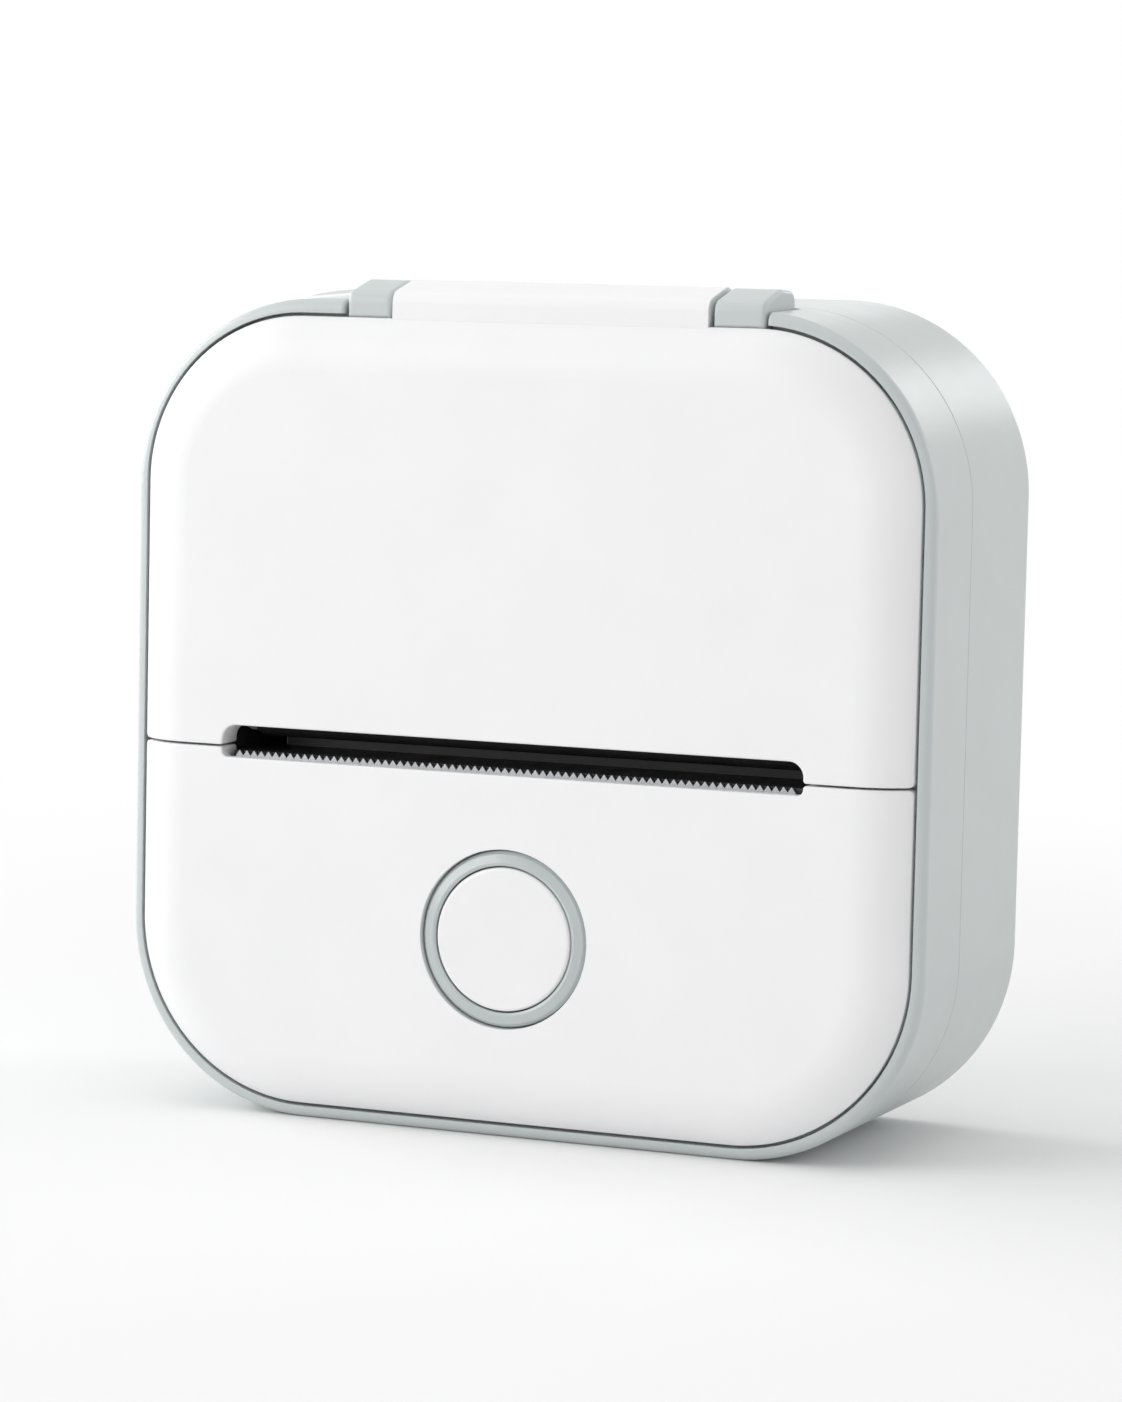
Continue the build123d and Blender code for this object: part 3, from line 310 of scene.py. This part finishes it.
def smooth_nodes(sharp_degrees):
    """Smooth shading with hard edges kept."""
    for node in NODES.values():
        mesh = node.data
        mesh.shade_smooth()
        mesh.set_sharp_from_angle(angle=math.radians(sharp_degrees))


# Camera, as the photograph was taken
VIEW_WIDTH = 1122
VIEW_HEIGHT = 1402
FOCAL_PIXELS = 4802.98
AZIMUTH = math.radians(23.311)
ELEVATION = math.radians(5.727)
ROLL = math.radians(1.199)
CAMERA_PLACE = Vector((0.183695, -0.440105, 0.087504))
SHIFT_PIXELS = (42.709, 21.659)
SENSOR = 36.0


def make_camera():
    back = Vector((math.sin(AZIMUTH) * math.cos(ELEVATION), -math.cos(AZIMUTH) * math.cos(ELEVATION),
                   math.sin(ELEVATION)))
    level = Vector((math.cos(AZIMUTH), math.sin(AZIMUTH), 0))
    up = back.cross(level)
    right = math.cos(ROLL) * level + math.sin(ROLL) * up
    top = math.cos(ROLL) * up - math.sin(ROLL) * level
    data = bpy.data.cameras.new("camera")
    data.sensor_width = SENSOR
    data.lens = SENSOR * FOCAL_PIXELS / VIEW_HEIGHT
    data.shift_x = SHIFT_PIXELS[0] / VIEW_HEIGHT
    data.shift_y = SHIFT_PIXELS[1] / VIEW_HEIGHT
    data.clip_start = 0.01
    data.clip_end = 20.0
    camera = bpy.data.objects.new("camera", data)
    bpy.context.scene.collection.objects.link(camera)
    turn = Matrix((right, top, back)).transposed()
    camera.matrix_world = Matrix.Translation(CAMERA_PLACE) @ turn.to_4x4()
    bpy.context.scene.camera = camera


def make_lamp(name, place, aim, size, watts):
    """A soft square lamp at a place, facing a point."""
    data = bpy.data.lights.new(name, "AREA")
    data.shape = "RECTANGLE"
    data.size = size[0]
    data.size_y = size[1]
    data.energy = watts
    lamp = bpy.data.objects.new(name, data)
    lamp.location = place
    lamp.rotation_mode = "QUATERNION"
    lamp.rotation_quaternion = (Vector(aim) - Vector(place)).to_track_quat("-Z", "Y")
    bpy.context.scene.collection.objects.link(lamp)
    return lamp


def looked_at(tree):
    """1 for what is seen directly, in a reflection or through clear material, and 0 for other light."""
    rays = add(tree, "ShaderNodeLightPath")
    seen = add(tree, "ShaderNodeMath", {0: rays.outputs["Is Camera Ray"], 1: rays.outputs["Is Glossy Ray"]},
               operation="MAXIMUM")
    seen = add(tree, "ShaderNodeMath", {0: seen.outputs[0], 1: rays.outputs["Is Transmission Ray"]},
               operation="MAXIMUM")
    return seen.outputs[0]


WORLD_LIGHT = 0.5          # strength of the world as a light, against 1 where it is looked at
FLOOR_HALF = 3.0
FLOOR_FADE = (0.1, 0.3)    # distances between which the floor turns to plain white


def make_studio():
    middle = (0, 0, 0.04)
    make_lamp("overhead_softbox", (0, 0, 0.8), middle, (0.8, 0.8), 1.6)
    make_lamp("left_front_softbox", (-0.6, -0.55, 0.35), middle, (0.6, 0.6), 3.05)
    make_lamp("left_softbox", (-0.85, 0.1, 0.35), middle, (0.5, 0.6), 3.4)
    make_lamp("right_front_softbox", (0.5, -0.65, 0.3), middle, (0.5, 0.5), 0.45)
    make_lamp("right_back_softbox", (0.7, 0.45, 0.3), middle, (0.5, 0.5), 1.2)
    make_lamp("back_right_strip", (0.17, 0.8, 0.36), middle, (0.12, 0.25), 0.3)
    make_lamp("back_left_strip", (-0.22, 0.8, 0.36), middle, (0.12, 0.25), 0.06)
    world = bpy.data.worlds.new("studio")
    world.use_nodes = True
    tree = world.node_tree
    tree.nodes.clear()
    seen = looked_at(tree)
    strength = add(tree, "ShaderNodeMapRange", {"Value": seen, "To Min": WORLD_LIGHT, "To Max": 1.0})
    white = add(tree, "ShaderNodeBackground", {"Color": (1, 1, 1, 1), "Strength": strength.outputs["Result"]})
    add(tree, "ShaderNodeOutputWorld", {"Surface": white.outputs[0]})
    bpy.context.scene.world = world


def make_floor():
    mesh = bpy.data.meshes.new("floor")
    half = FLOOR_HALF
    corners = [(-half, -half, 0), (half, -half, 0), (half, half, 0), (-half, half, 0)]
    mesh.from_pydata(corners, [], [(0, 1, 2, 3)])
    floor = bpy.data.objects.new("floor", mesh)
    bpy.context.scene.collection.objects.link(floor)
    material, tree, place = start_material("white_paper_sweep")
    distance = add(tree, "ShaderNodeVectorMath", {0: place}, operation="LENGTH").outputs["Value"]
    far = add(tree, "ShaderNodeMapRange", {"Value": distance, "From Min": FLOOR_FADE[0],
                                           "From Max": FLOOR_FADE[1]},
              interpolation_type="SMOOTHSTEP")
    seen = looked_at(tree)
    share = add(tree, "ShaderNodeMath", {0: seen, 1: far.outputs["Result"]}, operation="MULTIPLY")
    paper = add(tree, "ShaderNodeBsdfDiffuse", {"Color": linear("F4F4F4")})
    glow = add(tree, "ShaderNodeEmission", {"Color": (1, 1, 1, 1), "Strength": 1.0})
    mix = add(tree, "ShaderNodeMixShader", {0: share.outputs[0], 1: paper.outputs[0], 2: glow.outputs[0]})
    close_material(tree, mix)
    mesh.materials.append(material)


def main():
    smooth_nodes(30)
    finish = make_materials()
    for subpart in frame["record"]["subparts"]:
        paint(subpart["node"], finish[subpart["material_slot"]])
    make_floor()
    make_studio()
    make_camera()
    bpy.context.scene.view_settings.view_transform = "Standard"


main()
